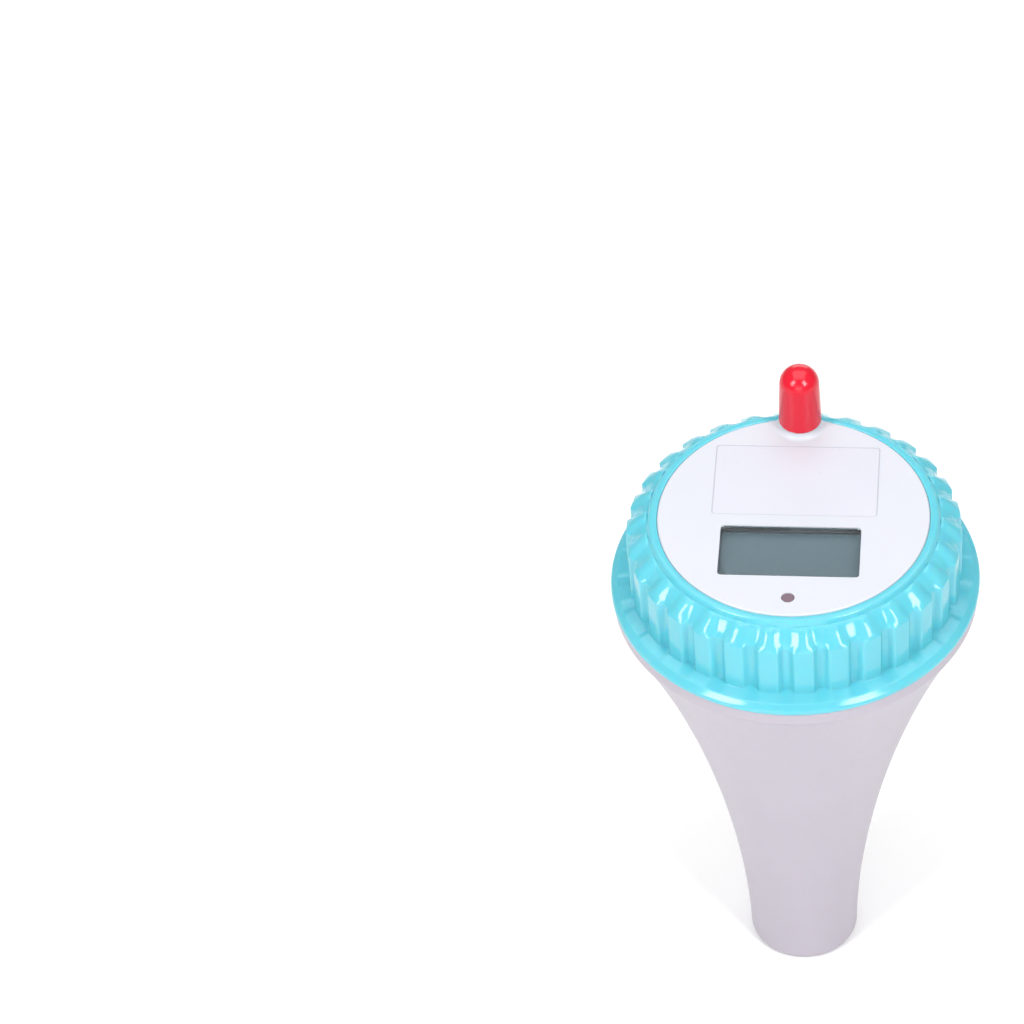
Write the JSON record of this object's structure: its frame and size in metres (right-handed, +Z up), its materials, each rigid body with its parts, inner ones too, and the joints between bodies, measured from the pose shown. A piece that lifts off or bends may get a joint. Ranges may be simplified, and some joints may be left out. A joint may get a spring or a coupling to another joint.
{
  "type": "floating pool thermometer",
  "caption": "Funnel-shaped floating pool thermometer with a ribbed screw ring, a round display face, a capped antenna and a probe in its base.",
  "frame": {"origin": "centre of the float's flat base rim", "axes": "+Z up along the float's axis, towards the display face; +Y towards the antenna, -Y towards the display"},
  "size_m": [0.095, 0.095, 0.1821],
  "materials": {
    "white_shell": "satin moulded ABS",
    "teal_ring": "glossy moulded ABS",
    "red_cap": "glossy soft plastic",
    "grey_inner": "matte moulded ABS",
    "black_parts": "matte",
    "white_connector": "matte nylon",
    "clear_window": "clear polished acrylic",
    "display": "grey-green liquid crystal panel",
    "label": "satin film",
    "seal": "matte",
    "board": "solder mask on glass-epoxy laminate",
    "steel": "stainless and nickel-plated",
    "copper": "enamelled copper wire",
    "iron": "raw casting",
    "cell_jacket": "printed film over steel, no lettering",
    "cable": "satin PVC sheath"
  },
  "bodies": {
    "float_body": {"float_hull": "white_shell", "ballast_weight": "iron", "probe_tip": "steel", "probe_seal": "seal", "probe_nut": "steel", "thermistor": "black_parts", "probe_lead": "cable"},
    "head": {"top_cover": "white_shell", "lcd_window": "clear_window", "label_plate": "label", "led_lens": "clear_window", "antenna_cap": "red_cap", "antenna_coil": "copper", "neck_seal": "seal", "inner_case": "grey_inner", "case_screw_1": "steel", "case_screw_2": "steel", "case_screw_3": "steel", "case_screw_4": "steel", "battery_1": "cell_jacket", "battery_2": "cell_jacket", "battery_spring_1": "steel", "battery_spring_2": "steel", "contact_positive": "steel", "contact_negative": "steel", "contact_bridge": "steel", "main_board": "board", "lcd_frame": "black_parts", "lcd_panel": "display", "zebra_strip_1": "seal", "zebra_strip_2": "seal", "radio_module": "steel", "micro_chip": "black_parts", "crystal_can": "steel", "led_emitter": "clear_window", "unit_switch": "black_parts", "reset_switch": "black_parts", "channel_switch": "black_parts", "lead_socket": "white_connector", "lead_plug": "white_connector"},
    "lock_ring": {"lock_ring": "teal_ring"},
    "unit_button": {"unit_button": "grey_inner"},
    "reset_button": {"reset_button": "grey_inner"},
    "channel_slider": {"channel_slider": "black_parts"},
    "battery_door": {"battery_door": "grey_inner"}
  },
  "joints": [
    {"name": "head_lift", "type": "slide", "parent": "float_body", "child": "head", "axis": [0, 0, 1], "range_m": [0, 0.0075], "deforming": ["probe_lead"]},
    {"name": "ring_turn", "type": "hinge", "parent": "head", "child": "lock_ring", "pos_m": [0, 0, 0.15], "axis": [0, 0, 1], "range_deg": [0, 540]},
    {"name": "unit_press", "type": "slide", "parent": "head", "child": "unit_button", "axis": [0, 0, 1], "range_m": [0, 0.0006], "stiffness_N_per_m": 300},
    {"name": "reset_press", "type": "slide", "parent": "head", "child": "reset_button", "axis": [0, 0, 1], "range_m": [0, 0.0006], "stiffness_N_per_m": 300},
    {"name": "channel_slide", "type": "slide", "parent": "head", "child": "channel_slider", "axis": [1, 0, 0], "range_m": [-0.002, 0.002]},
    {"name": "battery_door_slide", "type": "slide", "parent": "head", "child": "battery_door", "axis": [0, 0, -1], "range_m": [0, 0.006]}
  ],
  "couplings": [
    {"joint": "ring_turn", "follows": "head_lift", "rad_per_m": 1256.6}
  ]
}
